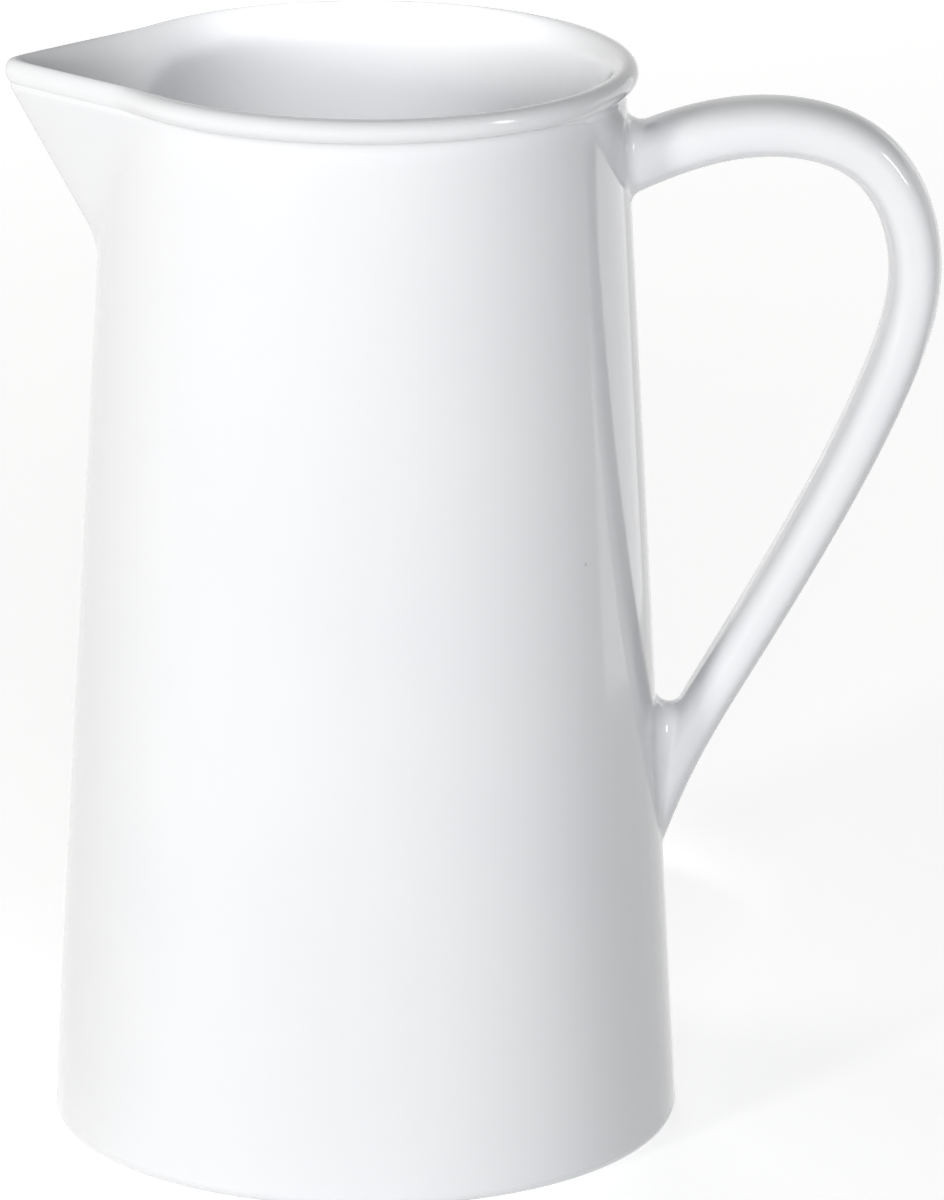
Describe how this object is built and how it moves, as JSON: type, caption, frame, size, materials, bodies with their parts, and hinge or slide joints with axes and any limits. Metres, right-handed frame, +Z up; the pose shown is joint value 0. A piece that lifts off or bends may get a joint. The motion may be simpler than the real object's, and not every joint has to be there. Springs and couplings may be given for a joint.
{
  "type": "porcelain jug",
  "caption": "Tall tapered white porcelain jug, empty, with a rolled rim, a V-shaped pouring lip and an ear-shaped strap handle; holds and pours drinks.",
  "frame": {"origin": "centre of the round foot, on the surface the jug stands on", "axes": "+Z up along the axis of the round body; -X towards the pouring lip; +X towards the handle; +Y across the jug"},
  "size_m": [0.1827, 0.1244, 0.215],
  "materials": {
    "white_porcelain": "smooth clear gloss glaze over white porcelain"
  },
  "bodies": {
    "root": {"jug": "white_porcelain"}
  },
  "joints": []
}
